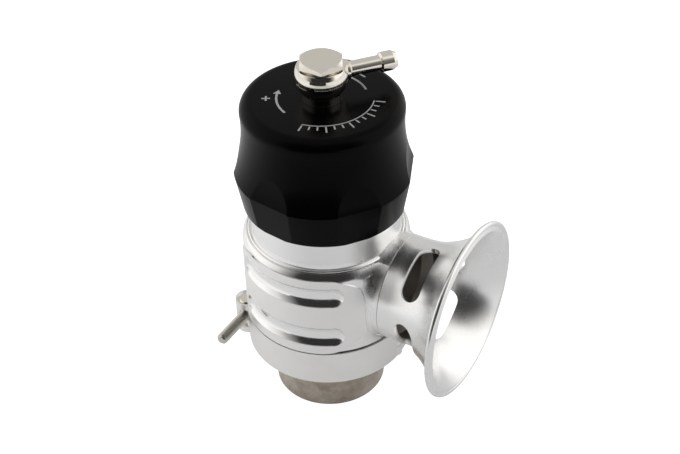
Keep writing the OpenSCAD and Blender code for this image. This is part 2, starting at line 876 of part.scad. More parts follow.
module banjo_fitting() {
    collar = 0.8;
    fillet = 0.7;
    ramp = 0.5;
    nose = 1.4;
    collar_x = ball_r + 0.2;
    color(nickel)
    difference() {
        union() {
            intersection() {
                translate([0, 0, ball_z]) sphere(r = ball_r);
                translate([0, 0, ring_z0]) cylinder(r = ball_d, h = ring_h);
            }
            translate([0, 0, ring_z0]) cylinder(r = foot_r, h = ball_h);
            translate([0, 0, ball_z]) rotate([0, 90, barb_turn])
                rotate_extrude()
                    polygon([
                        [0, 0],
                        [barb_r + collar, 0],
                        [barb_r + collar, collar_x],
                        [barb_r, collar_x + fillet],
                        [barb_r, barb_reach - barb_head_len - ramp],
                        [barb_head_d / 2, barb_reach - barb_head_len],
                        [barb_head_d / 2, barb_reach - nose],
                        [barb_r, barb_reach],
                        [0, barb_reach]
                    ]);
        }
        translate([0, 0, ring_z0 - eps]) cylinder(r = ring_bore_r, h = ring_h + 2 * eps);
        translate([0, 0, ball_z]) rotate([0, 90, barb_turn]) cylinder(d = barb_bore, h = reach);
    }
}

module upper_washer() {
    color(dark_steel) tube(washer_r, stud_r + fit, ring_z1 + touch, hex_z0 - touch);
}

module lower_washer() {
    color(dark_steel) tube(washer_r, stud_r + fit, cap_z1 + touch, ring_z0 - touch);
}

inlet_adaptor();
base_o_ring();
clamp_half_front();
clamp_half_rear();
clamp_hinge_pin();
clamp_bolt();
barrel_nut();
barrel_washer();
body();
trumpet();
trumpet_o_ring();
piston();
piston_face_seal();
piston_o_ring();
piston_guide_band();
main_spring();
spring_seat();
thrust_washer();
cap();
cap_o_ring();
banjo_bolt();
banjo_fitting();
upper_washer();
lower_washer();
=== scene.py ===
"""Looks of a blow off valve: polished and satin aluminium, black anodised cap, nickel hose fitting."""
import json
import math

import bpy
from mathutils import Matrix, Vector


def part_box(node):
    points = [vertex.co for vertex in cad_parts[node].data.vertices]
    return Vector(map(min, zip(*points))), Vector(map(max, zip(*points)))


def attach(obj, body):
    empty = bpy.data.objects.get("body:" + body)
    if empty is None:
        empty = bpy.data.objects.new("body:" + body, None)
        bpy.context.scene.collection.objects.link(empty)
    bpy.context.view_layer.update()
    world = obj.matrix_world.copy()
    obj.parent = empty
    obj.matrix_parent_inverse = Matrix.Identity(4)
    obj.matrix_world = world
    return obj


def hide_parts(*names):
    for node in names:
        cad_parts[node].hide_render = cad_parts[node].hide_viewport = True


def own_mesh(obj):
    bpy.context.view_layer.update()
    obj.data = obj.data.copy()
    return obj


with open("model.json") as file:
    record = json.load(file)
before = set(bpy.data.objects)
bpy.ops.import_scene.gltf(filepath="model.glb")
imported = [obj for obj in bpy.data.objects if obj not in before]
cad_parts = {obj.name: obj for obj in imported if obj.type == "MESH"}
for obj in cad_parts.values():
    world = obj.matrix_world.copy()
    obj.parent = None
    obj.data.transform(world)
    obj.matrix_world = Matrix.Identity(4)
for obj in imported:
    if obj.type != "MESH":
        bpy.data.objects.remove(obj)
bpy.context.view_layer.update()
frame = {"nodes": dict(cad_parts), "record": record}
MM = 0.001

# Camera of the photograph: a long lens that looks down on the valve
IMAGE_W = 680
FOCAL_PX = 1300
SENSOR_MM = 36
CAMERA_AZIMUTH = 31.338
CAMERA_ELEVATION = 38.357
CAMERA_ROLL = -1.443
CAMERA_DISTANCE = 428.288 * MM
TARGET_SIDE = 4.486 * MM
TARGET_HEIGHT = 64.383 * MM
NEAREST_SEEN, FURTHEST_SEEN = 0.01, 50


def direction(azimuth, elevation=0):
    """Unit vector towards a place round the valve; azimuth 0 is the -Y side."""
    a, e = math.radians(azimuth), math.radians(elevation)
    return Vector((math.sin(a) * math.cos(e), -math.cos(a) * math.cos(e), math.sin(e)))


def add_camera():
    back = direction(CAMERA_AZIMUTH, CAMERA_ELEVATION)
    a, roll = math.radians(CAMERA_AZIMUTH), math.radians(CAMERA_ROLL)
    level_right = Vector((math.cos(a), math.sin(a), 0))
    level_up = back.cross(level_right)
    right = level_right * math.cos(roll) + level_up * math.sin(roll)
    up = level_up * math.cos(roll) - level_right * math.sin(roll)
    eye = Vector((0, 0, TARGET_HEIGHT)) + right * TARGET_SIDE + back * CAMERA_DISTANCE
    data = bpy.data.cameras.new("camera")
    data.sensor_fit = "HORIZONTAL"
    data.sensor_width = SENSOR_MM
    data.lens = FOCAL_PX * SENSOR_MM / IMAGE_W
    data.clip_start = NEAREST_SEEN
    data.clip_end = FURTHEST_SEEN
    camera = bpy.data.objects.new("camera", data)
    bpy.context.scene.collection.objects.link(camera)
    rows = [[right[i], up[i], back[i], eye[i]] for i in range(3)]
    camera.matrix_world = Matrix(rows + [[0, 0, 0, 1]])
    bpy.context.scene.camera = camera


# Most of a noise texture's values lie between these two
NOISE_LOW, NOISE_HIGH = 0.3, 0.7


class Nodes:
    """Short way to write a material's node tree."""

    def __init__(self, name):
        self.material = bpy.data.materials.new(name)
        self.material.use_nodes = True
        self.tree = self.material.node_tree
        self.shader = self.tree.nodes["Principled BSDF"]

    def add(self, kind, values=None, **settings):
        """New node; a value that is a socket is linked, and any other is set."""
        made = self.tree.nodes.new(kind)
        for key, value in settings.items():
            setattr(made, key, value)
        for key, value in (values or {}).items():
            if isinstance(value, bpy.types.NodeSocket):
                self.tree.links.new(value, made.inputs[key])
            else:
                made.inputs[key].default_value = value
        return made

    def math(self, operation, a, b=None, clamp=False):
        values = {0: a} if b is None else {0: a, 1: b}
        return self.add("ShaderNodeMath", values, operation=operation, use_clamp=clamp).outputs[0]

    def place(self):
        return self.add("ShaderNodeTexCoord").outputs["Object"]

    def axes(self, vector):
        split = self.add("ShaderNodeSeparateXYZ", {0: vector})
        return split.outputs[0], split.outputs[1], split.outputs[2]

    def noise(self, vector, scale, detail=4, rough=0.55):
        values = {"Vector": vector, "Scale": scale, "Detail": detail, "Roughness": rough}
        return self.add("ShaderNodeTexNoise", values).outputs["Fac"]

    def stretch(self, vector, scale):
        return self.add("ShaderNodeVectorMath", {0: vector, 1: scale}, operation="MULTIPLY").outputs[0]

    def remap(self, value, low, high, out_low, out_high):
        values = {0: value, 1: low, 2: high, 3: out_low, 4: out_high}
        return self.add("ShaderNodeMapRange", values).outputs[0]

    def spread(self, noise, span):
        """Noise spread over a span of values."""
        return self.remap(noise, NOISE_LOW, NOISE_HIGH, span[0], span[1])

    def mix(self, factor, a, b):
        """Colour between a and b."""
        return self.add("ShaderNodeMix", {0: factor, 6: a, 7: b}, data_type="RGBA").outputs[2]

    def mix_value(self, factor, a, b):
        """Number between a and b."""
        span = self.math("MULTIPLY", self.math("SUBTRACT", b, a), factor)
        return self.math("ADD", span, a)

    def blend(self, factor, a, b):
        """Vector between a and b."""
        return self.add("ShaderNodeMix", {0: factor, 4: a, 5: b}, data_type="VECTOR").outputs[1]

    def bump(self, height, strength, distance, normal=None):
        values = {"Strength": strength, "Distance": distance, "Height": height}
        if normal:
            values["Normal"] = normal
        return self.add("ShaderNodeBump", values).outputs["Normal"]

    def vector(self, x, y, z):
        return self.add("ShaderNodeCombineXYZ", {0: x, 1: y, 2: z}).outputs[0]

    def unit(self, vector):
        return self.add("ShaderNodeVectorMath", {0: vector}, operation="NORMALIZE").outputs[0]

    def length(self, a, b):
        return self.math("SQRT", self.math("ADD", self.math("MULTIPLY", a, a), self.math("MULTIPLY", b, b)))

    def along(self, x, y, toward):
        """Distance along a level direction."""
        return self.math("ADD", self.math("MULTIPLY", x, toward.x), self.math("MULTIPLY", y, toward.y))

    def link(self, socket, name):
        self.tree.links.new(socket, self.shader.inputs[name])

    def put(self, **values):
        for name, value in values.items():
            self.shader.inputs[name.replace("_", " ")].default_value = value


def grey(value, warm=0.0):
    return (value * (1 + warm), value, value * (1 - warm), 1)


# Metals: colours, and the grain that they share (scales are in cycles a metre)
NICKEL = (0.84, 0.80, 0.725, 1)
ALUMINIUM = (0.90, 0.90, 0.895, 1)
PAD_COLOUR = grey(0.93, 0.008)
CLAMP_COLOUR = grey(0.93, 0.01)
BOLT_COLOUR = (0.62, 0.60, 0.56, 1)
TURNED_STRETCH = (60, 60, 4000)
SPUN_STRETCH = (4000, 60, 60)
WORKED_STRETCH = (700, 700, 60)
LINE_DETAIL = 2
LINE_STRENGTH = 0.5
FINE_LINE = 0.0008 * MM
CLOUD_SCALE = 90
CLOUD_DARKER = 0.94


def turned_metal(name, colour, rough, line_depth=FINE_LINE):
    """Lathe-turned bright metal: fine lines round the Z axis and a little cloudy roughness."""
    n = Nodes(name)
    spot = n.place()
    lines = n.noise(n.stretch(spot, TURNED_STRETCH), 1.0, LINE_DETAIL)
    cloud = n.noise(spot, CLOUD_SCALE)
    n.link(n.spread(cloud, rough), "Roughness")
    n.link(n.mix(cloud, colour, tuple(c * CLOUD_DARKER for c in colour[:3]) + (1,)), "Base Color")
    n.link(n.bump(lines, LINE_STRENGTH, line_depth), "Normal")
    n.put(Metallic=1.0)
    return n.material


# Body: wall, shoulder, outlet fillet, grip pads and the grooves in them
BODY_R = 27.65 * MM
SKIN_SLACK = 0.1 * MM
SHOULDER_R = 6.5 * MM
SHOULDER_Z = 61.3 * MM
SHOULDER_END_Z = 65.9 * MM
NECK_Z = 68.4 * MM
OUTLET_Z = 50.9 * MM
OUTLET_R = 17.5 * MM
FILLET_WIDTH = 4.5 * MM
FILLET_START_X = 13 * MM
PAD_HALF_W = 24.84 * MM
PAD_HALF_H = 15.55 * MM
PAD_MIDDLE_Z = 48.95 * MM
PAD_CORNER = 12 * MM
PAD_LEAST_R = 27.84 * MM
PAD_SLACK = 0.02 * MM
GROOVE_MIDDLE_Z = 49.1 * MM
GROOVE_HALF_PITCH = 8.35 * MM
GROOVE_HALF_W = 3.85 * MM
GROOVE_HALF_ANGLE = math.radians(34.5)
GROOVE_PATH_R = 31.51 * MM
# A face takes an even normal only where its own normal is this close to it (cosine)
SKIN_ALONG = 0.86
GROOVE_ALONG = 0.5


def facing(n, normal, least):
    """Mask of the faces whose own normal lies along a given one, with a cosine above least."""
    true = n.add("ShaderNodeNewGeometry").outputs["True Normal"]
    along = n.add("ShaderNodeVectorMath", {0: normal, 1: true}, operation="DOT_PRODUCT")
    return n.math("GREATER_THAN", along.outputs["Value"], least)


def even_normal(n, x, y, z, radius, pad):
    """Even normal of wall, pads, shoulder and outlet fillet, and a mask of that skin."""
    above = n.math("MAXIMUM", n.math("SUBTRACT", z, SHOULDER_Z), 0.0)
    up = n.math("MULTIPLY", above, n.math("SUBTRACT", 1.0, pad))
    out = n.math("DIVIDE", n.math("SUBTRACT", radius, BODY_R - SHOULDER_R), radius)
    turned = n.unit(n.vector(n.math("MULTIPLY", x, out), n.math("MULTIPLY", y, out), up))
    high = n.math("SUBTRACT", z, OUTLET_Z)
    off_boss = n.math("SUBTRACT", n.length(y, high), OUTLET_R)
    off_wall = n.math("SUBTRACT", radius, BODY_R)
    boss = n.unit(n.vector(0.0, y, high))
    gap = n.math("SUBTRACT", off_boss, off_wall)
    beside_outlet = n.math("LESS_THAN", x, FILLET_START_X)
    share = n.math("MAXIMUM", n.remap(gap, -FILLET_WIDTH, FILLET_WIDTH, 0, 1), beside_outlet)
    normal = n.unit(n.blend(share, boss, turned))
    wall = n.math("GREATER_THAN", radius, BODY_R - SKIN_SLACK)
    skin = n.math("MAXIMUM", wall, n.math("GREATER_THAN", z, SHOULDER_Z))
    below = n.math("LESS_THAN", z, SHOULDER_END_Z)
    return normal, n.math("MULTIPLY", skin, n.math("MULTIPLY", below, facing(n, normal, SKIN_ALONG)))


def groove_normal(n, x, y, z, radius):
    """Even normal inside the scooped grooves, towards the cutter's middle line, and its mask."""
    angle = n.math("ARCTAN2", x, n.math("ABSOLUTE", y))
    held = n.math("MAXIMUM", n.math("MINIMUM", angle, GROOVE_HALF_ANGLE), -GROOVE_HALF_ANGLE)
    upper = n.math("SIGN", n.math("SUBTRACT", z, GROOVE_MIDDLE_Z))
    rise = n.math("ADD", n.math("MULTIPLY", upper, GROOVE_HALF_PITCH), GROOVE_MIDDLE_Z)
    across = n.math("SUBTRACT", rise, z)
    path_x = n.math("MULTIPLY", n.math("SINE", held), GROOVE_PATH_R)
    path_out = n.math("MULTIPLY", n.math("COSINE", held), GROOVE_PATH_R)
    path_y = n.math("MULTIPLY", path_out, n.math("SIGN", y))
    normal = n.unit(n.vector(n.math("SUBTRACT", path_x, x), n.math("SUBTRACT", path_y, y), across))
    within = n.math("LESS_THAN", n.math("ABSOLUTE", across), GROOVE_HALF_W)
    sunk = n.math("LESS_THAN", radius, BODY_R - SKIN_SLACK)
    return normal, n.math("MULTIPLY", within, n.math("MULTIPLY", sunk, facing(n, normal, GROOVE_ALONG)))


def pad_mask(n, x, z, radius):
    """Mask of the raised grip pads: a rounded outline, and out beyond the wall and the scoops."""
    over_x = n.math("MAXIMUM", n.math("SUBTRACT", n.math("ABSOLUTE", x), PAD_HALF_W - PAD_CORNER), 0.0)
    from_middle = n.math("ABSOLUTE", n.math("SUBTRACT", z, PAD_MIDDLE_Z))
    over_z = n.math("MAXIMUM", n.math("SUBTRACT", from_middle, PAD_HALF_H - PAD_CORNER), 0.0)
    inside = n.math("LESS_THAN", n.length(over_x, over_z), PAD_CORNER - PAD_SLACK)
    return n.math("MULTIPLY", inside, n.math("GREATER_THAN", radius, PAD_LEAST_R))


POLISHED_ROUGH = (0.13, 0.19)
WORKED_ROUGH = (0.24, 0.34)
WORKED_FROM_X, WORKED_FULL_X = 18 * MM, 23 * MM
SATIN_ROUGH = (0.40, 0.48)
NECK_ROUGH = 0.30
PAD_GRAIN_SCALE = 7000
BODY_LINE = 0.0012 * MM


def body_metal():
    """Polished body with satin grip pads, bright scoops and a streaky, hand-worked outlet fillet."""
    n = Nodes("polished_aluminium")
    spot = n.place()
    x, y, z = n.axes(spot)
    radius = n.length(x, y)
    pad = pad_mask(n, x, z, radius)
    lines = n.noise(n.stretch(spot, TURNED_STRETCH), 1.0, LINE_DETAIL)
    streaks = n.noise(n.stretch(spot, WORKED_STRETCH), 1.0, LINE_DETAIL)
    grain = n.noise(spot, PAD_GRAIN_SCALE, LINE_DETAIL)
    polished = n.spread(n.noise(spot, CLOUD_SCALE), POLISHED_ROUGH)
    near_outlet = n.remap(x, WORKED_FROM_X, WORKED_FULL_X, 0, 1)
    worked = n.mix_value(near_outlet, polished, n.spread(streaks, WORKED_ROUGH))
    bare = n.mix_value(n.math("GREATER_THAN", z, NECK_Z), worked, NECK_ROUGH)
    n.link(n.mix_value(pad, bare, n.spread(grain, SATIN_ROUGH)), "Roughness")
    n.link(n.mix(pad, ALUMINIUM, PAD_COLOUR), "Base Color")
    shading = n.add("ShaderNodeNewGeometry").outputs["Normal"]
    smooth, skin = even_normal(n, x, y, z, radius, pad)
    scooped, groove = groove_normal(n, x, y, z, radius)
    even = n.blend(groove, n.blend(skin, shading, smooth), scooped)
    n.link(n.bump(n.mix_value(pad, lines, grain), LINE_STRENGTH, BODY_LINE, even), "Normal")
    n.put(Metallic=1.0)
    return n.material


NECK_BORE_R = 15.9 * MM
NECK_SKIN_R = 17.0 * MM
# Painted shade: the bore inside the neck is coloured dark
SHADED_BORE_COLOUR = (0.16, 0.145, 0.13, 1)
BORE_ROUGH = 0.45
SPUN_ROUGH = (0.23, 0.30)


def spun_metal():
    """Polished trumpet: fine lines round the outlet, and a dull unpolished bore inside its neck, coloured
    dark as painted shade.
    """
    n = Nodes("spun_aluminium")
    spot = n.place()
    _, y, z = n.axes(spot)
    radius = n.length(y, n.math("SUBTRACT", z, OUTLET_Z))
    skin = n.remap(radius, NECK_BORE_R, NECK_SKIN_R, 0, 1)
    lines = n.noise(n.stretch(spot, SPUN_STRETCH), 1.0, LINE_DETAIL)
    cloud = n.noise(spot, CLOUD_SCALE)
    n.link(n.mix_value(skin, BORE_ROUGH, n.spread(cloud, SPUN_ROUGH)), "Roughness")
    # Painted shade: dark colour in the bore inside the neck
    n.link(n.mix(skin, SHADED_BORE_COLOUR, ALUMINIUM), "Base Color")
    n.link(n.bump(lines, LINE_STRENGTH, FINE_LINE), "Normal")
    n.put(Metallic=1.0)
    return n.material


CAP_BLACK, CAP_LESS_BLACK = grey(0.0004), grey(0.0012)
CAP_ROUGH = (0.20, 0.28)
CAP_SPECULAR = 0.06
CAP_GRAIN_DEPTH = 0.003 * MM


def anodised():
    """Black cap: a deep, even black under a fine satin grain."""
    n = Nodes("black_anodised")
    spot = n.place()
    grain = n.noise(spot, scale=9000, detail=2)
    cloud = n.noise(spot, scale=60)
    n.link(n.mix(cloud, CAP_BLACK, CAP_LESS_BLACK), "Base Color")
    n.link(n.spread(grain, CAP_ROUGH), "Roughness")
    n.link(n.bump(grain, strength=0.2, distance=CAP_GRAIN_DEPTH), "Normal")
    n.put(Metallic=0.0, Specular_IOR_Level=CAP_SPECULAR)
    return n.material


# The darker tone is stained steel; the lighter one is clean steel in the blotches and also a painted
# highlight on the tube's sides as seen from the camera
STAINED_STEEL = (0.30, 0.25, 0.205, 1)
CLEAN_AND_HIGHLIGHT_STEEL = (0.64, 0.59, 0.52, 1)
STEEL_ROUGH = (0.22, 0.42)
STREAK_STRETCH = (120, 120, 500)
# Painted highlight on the tube's sides as seen from the camera: it starts this far aside of the camera's
# line and is full at the second distance
EDGE_HIGHLIGHT_FROM, EDGE_HIGHLIGHT_FULL = 7 * MM, 18 * MM
BLOTCH_LOW, BLOTCH_HIGH = 0.35, 0.65
BLOTCH_SHARE, EDGE_HIGHLIGHT_SHARE = 0.6, 0.7
GRAIN_DEPTH = 0.01 * MM


def bare_tube():
    """Bare drawn steel with blotchy stains, and a painted highlight that lightens its sides as seen from
    the camera; the sides that face the camera and away from it stay darker.
    """
    n = Nodes("bare_steel")
    spot = n.place()
    streak = n.noise(n.stretch(spot, STREAK_STRETCH), 1.0, detail=6)
    blotch = n.noise(spot, scale=140, detail=5, rough=0.65)
    patches = n.remap(blotch, BLOTCH_LOW, BLOTCH_HIGH, 0, 1)
    x, y, _ = n.axes(spot)
    # Painted highlight: lighter towards the tube's left and right edges as seen from the camera
    aside = n.math("ABSOLUTE", n.along(x, y, direction(CAMERA_AZIMUTH + 90)))
    edge_highlight = n.remap(aside, EDGE_HIGHLIGHT_FROM, EDGE_HIGHLIGHT_FULL, 0, EDGE_HIGHLIGHT_SHARE)
    bright = n.math("ADD", n.math("MULTIPLY", patches, BLOTCH_SHARE), edge_highlight, clamp=True)
    n.link(n.mix(bright, STAINED_STEEL, CLEAN_AND_HIGHLIGHT_STEEL), "Base Color")
    n.link(n.spread(streak, STEEL_ROUGH), "Roughness")
    n.link(n.bump(streak, strength=0.4, distance=GRAIN_DEPTH), "Normal")
    n.put(Metallic=1.0)
    return n.material


def grained(name, scale, dark, light, strength, rough):
    """Rubber or plastic: a fine grain in colour and height."""
    n = Nodes(name)
    grain = n.noise(n.place(), scale, detail=3)
    n.link(n.mix(grain, dark, light), "Base Color")
    n.link(n.bump(grain, strength, distance=GRAIN_DEPTH), "Normal")
    n.put(Roughness=rough)
    return n.material


INK_GREY, INK_PALER = grey(0.40), grey(0.55)
INK_ROUGH = (0.45, 0.6)


def ink():
    """White print on the cap."""
    n = Nodes("white_ink")
    grain = n.noise(n.place(), scale=5000, detail=3)
    n.link(n.mix(grain, INK_GREY, INK_PALER), "Base Color")
    n.link(n.spread(grain, INK_ROUGH), "Roughness")
    return n.material


RUBBER_BLACK, RUBBER_GREY = grey(0.012), grey(0.03)
PLASTIC_DARKER, PLASTIC_PALER = (0.80, 0.77, 0.70, 1), (0.86, 0.84, 0.78, 1)
CLAMP_ROUGH, CLAMP_LINE = (0.36, 0.44), 0.004 * MM
BOLT_ROUGH = (0.22, 0.34)
NICKEL_ROUGH, NICKEL_LINE = (0.08, 0.14), 0.0004 * MM

materials = {
    "polished_aluminium": spun_metal(),
    "satin_aluminium": turned_metal("satin_aluminium", CLAMP_COLOUR, CLAMP_ROUGH, CLAMP_LINE),
    "bolt_steel": turned_metal("bolt_steel", BOLT_COLOUR, BOLT_ROUGH),
    "nickel_plate": turned_metal("nickel_plate", NICKEL, NICKEL_ROUGH, NICKEL_LINE),
    "black_anodised": anodised(),
    "bare_steel": bare_tube(),
    "seal_rubber": grained("seal_rubber", 4000, RUBBER_BLACK, RUBBER_GREY, strength=0.3, rough=0.7),
    "slip_plastic": grained("slip_plastic", 900, PLASTIC_DARKER, PLASTIC_PALER, strength=0.2, rough=0.5),
}


def dress_nodes():
    """Gives each CAD node its slot's material, and the body its own."""
    slots = {s["node"]: s["material_slot"] for s in frame["record"]["subparts"]}
    body_material = body_metal()
    for name, piece in frame["nodes"].items():
        piece.data.materials.clear()
        piece.data.materials.append(body_material if name == "body" else materials[slots[name]])


WELD_DISTANCE = 0.0005 * MM
# Degrees above which an edge between facets stays sharp
SHARP_ABOVE = {"body": 12, "trumpet": 12, "cap": 8}


def smooth_shading(node, limit):
    """Modifier that shades a CAD node's fine facets smoothly, and keeps edges above limit degrees."""
    tree = bpy.data.node_groups.new("smooth_" + node, "GeometryNodeTree")
    for way in ("INPUT", "OUTPUT"):
        tree.interface.new_socket("Geometry", in_out=way, socket_type="NodeSocketGeometry")
    start = tree.nodes.new("NodeGroupInput")
    weld = tree.nodes.new("GeometryNodeMergeByDistance")
    weld.inputs["Distance"].default_value = WELD_DISTANCE
    bare = tree.nodes.new("GeometryNodeRemoveAttribute")
    bare.inputs["Name"].default_value = "custom_normal"
    soft = tree.nodes.new("GeometryNodeSetShadeSmooth")
    sharp = tree.nodes.new("GeometryNodeSetShadeSmooth")
    sharp.domain = "EDGE"
    sharp.inputs["Shade Smooth"].default_value = False
    bend = tree.nodes.new("GeometryNodeInputMeshEdgeAngle")
    over = tree.nodes.new("FunctionNodeCompare")
    over.operation = "GREATER_THAN"
    over.inputs["B"].default_value = math.radians(limit)
    tree.links.new(bend.outputs["Unsigned Angle"], over.inputs["A"])
    tree.links.new(over.outputs["Result"], sharp.inputs["Selection"])
    end = tree.nodes.new("NodeGroupOutput")
    chain = (start, weld, bare, soft, sharp, end)
    for a, b in zip(chain, chain[1:]):
        tree.links.new(a.outputs[0], b.inputs[0])
    frame["nodes"][node].modifiers.new("smooth", "NODES").node_group = tree


def add_mesh(name, verts, faces, material):
    mesh = bpy.data.meshes.new(name)
    mesh.from_pydata(verts, [], faces)
    mesh.materials.append(material)
    made = bpy.data.objects.new(name, mesh)
    bpy.context.scene.collection.objects.link(made)
    return made


def side_faces(rings, sides):
    """Faces between neighbouring rings of points."""
    faces = []
    for i in range(rings - 1):
        low, high = i * sides, (i + 1) * sides
        for k in range(sides):
            j = (k + 1) % sides
            faces.append((low + k, low + j, high + j, high + k))
    return faces


def end_faces(rings, sides):
    """Faces that close the first and the last ring."""
    last = (rings - 1) * sides
    return [tuple(range(sides - 1, -1, -1)), tuple(range(last, last + sides))]


def shade(piece, sharp_degrees):
    """Smooth shading, apart from edges above an angle."""
    piece.data.shade_smooth()
    piece.data.set_sharp_from_angle(angle=math.radians(sharp_degrees))


# Clamp bolt: M4 with a hexagon socket
BOLT_X, BOLT_Z = -24.8 * MM, 26.7 * MM
BOLT_HEAD_Y = 15.8 * MM
BOLT_R, BOLT_LENGTH = 2.0 * MM, 46 * MM
HEAD_R, HEAD_H = 3.5 * MM, 4 * MM
SOCKET_R, SOCKET_DEPTH = 1.72 * MM, 2 * MM
BOLT_CHAMFER = 0.6 * MM
THREAD_PITCH, THREAD_DEPTH = 0.7 * MM, 0.42 * MM
THREAD_START = 22 * MM
# Shares of half a pitch: where the flat crest ends, and how far the flank runs to the root
THREAD_CREST, THREAD_FLANK = 0.125, 0.625
THREAD_STEPS = 8
BOLT_SIDES = 36
BOLT_SHARP = 25


def clamped(value):
    return min(max(value, 0), 1)


def thread_radius(s, turn):
    """Radius of the rolled thread at a distance s under the head, turn in turns round the bolt."""
    phase = (s / THREAD_PITCH + turn) % 1
    depth = clamped((abs(2 * phase - 1) - THREAD_CREST) / THREAD_FLANK)
    run_in = clamped((s - THREAD_START) / THREAD_PITCH)
    tip = BOLT_R - max(s - (BOLT_LENGTH - BOLT_CHAMFER), 0)
    return min(BOLT_R - THREAD_DEPTH * depth * run_in, tip)


def hex_radius(turn):
    """Radius of the hexagon socket; its corners are SOCKET_R from the axis."""
    angle = (turn * 360 + 30) % 60 - 30
    return SOCKET_R * math.cos(math.radians(30)) / math.cos(math.radians(angle))


def add_bolt():
    """Clamp bolt with a socket head and a real thread, in place of the plain CAD bolt."""
    def circle(radius):
        return lambda turn: radius

    rings = [
        (SOCKET_DEPTH - HEAD_H, hex_radius),
        (-HEAD_H, hex_radius),
        (-HEAD_H, circle(HEAD_R - BOLT_CHAMFER)),
        (BOLT_CHAMFER - HEAD_H, circle(HEAD_R)),
        (0, circle(HEAD_R)),
        (0, circle(BOLT_R)),
    ]
    steps = round((BOLT_LENGTH - THREAD_START) / THREAD_PITCH * THREAD_STEPS)
    for i in range(steps + 1):
        s = THREAD_START + (BOLT_LENGTH - THREAD_START) * i / steps
        rings.append((s, lambda turn, s=s: thread_radius(s, turn)))
    verts = []
    for s, radius in rings:
        for k in range(BOLT_SIDES):
            turn = k / BOLT_SIDES
            r, a = radius(turn), 2 * math.pi * turn
            verts.append((BOLT_X + r * math.sin(a), BOLT_HEAD_Y - s, BOLT_Z + r * math.cos(a)))
    faces = side_faces(len(rings), BOLT_SIDES) + end_faces(len(rings), BOLT_SIDES)
    bolt = add_mesh("clamp_bolt_threaded", verts, faces, materials["bolt_steel"])
    shade(bolt, BOLT_SHARP)
    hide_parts("clamp_bolt")
    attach(bolt, "housing")


# Main spring with closed ends
COIL_R = 12.5 * MM
WIRE_R = 1.15 * MM
COIL_PITCH_AT_END = 2.4 * MM
COIL_TURNS = 8
# The two halves of the spring stay this share of a turn apart
COIL_GAP = 0.012
COIL_STEPS = 24
COIL_SIDES = 12
COIL_SHARP = 50


def add_spring():
    """Main spring in two halves: the upper gives way to the piston, the lower to the cap."""
    low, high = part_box("main_spring")
    bottom, top = low[2] + WIRE_R, high[2] - WIRE_R
    live = top - bottom - 2 * COIL_PITCH_AT_END

    def height(t):
        if t < 1:
            return bottom + t * COIL_PITCH_AT_END
        if t > COIL_TURNS - 1:
            return top - (COIL_TURNS - t) * COIL_PITCH_AT_END
        return bottom + COIL_PITCH_AT_END + (t - 1) / (COIL_TURNS - 2) * live

    def half(name, start):
        verts = []
        steps = COIL_TURNS // 2 * COIL_STEPS
        for i in range(steps + 1):
            t = start + (COIL_TURNS / 2 - COIL_GAP) * i / steps
            turn = 2 * math.pi * t
            for j in range(COIL_SIDES):
                b = 2 * math.pi * j / COIL_SIDES
                r = COIL_R + WIRE_R * math.cos(b)
                verts.append((r * math.cos(turn), r * math.sin(turn), height(t) + WIRE_R * math.sin(b)))
        faces = side_faces(steps + 1, COIL_SIDES) + end_faces(steps + 1, COIL_SIDES)
        coil = add_mesh(name, verts, faces, materials["bolt_steel"])
        shade(coil, COIL_SHARP)
        return coil

    upper = half("spring_upper", COIL_TURNS // 2)
    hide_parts("main_spring")
    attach(upper, "spring_perch")
    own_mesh(upper)
    lower = half("spring_lower", 0)
    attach(lower, "valve_piston")
    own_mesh(lower)


# Print on the cap's top: radii in millimetres, turns in degrees
CAP_TOP_Z = 115.1 * MM
INK_T = 0.03 * MM
PRINT_STEP = 3
ARROW_R, ARROW_HALF_W = 14, 0.35
ARROW_HEAD_HALF_W, ARROW_HEAD_TURN = 1.3, 9
TIGHTEN_ARROW, LOOSEN_ARROW = (-112, -158), (46, 86)
SIGN_R, PLUS_AT, MINUS_AT = 17.2, -148, 74
SIGN_HALF_W, SIGN_REACH = 0.3, 1.35
SIGN_HALF_TURN, UPRIGHT_HALF_TURN = 4.4, 1
SCALE_START, SCALE_SPAN, SCALE_PARTS = -80, 100, 12
TICK_FOOT_R, TICK_R, LONG_TICK_R = 16.6, 18.4, 19.6
LONG_TICK_EVERY, TICK_HALF_TURN = 3, 0.8
SCALE_LINE_R, SCALE_LINE_OVER = (15.9, 16.3), 1


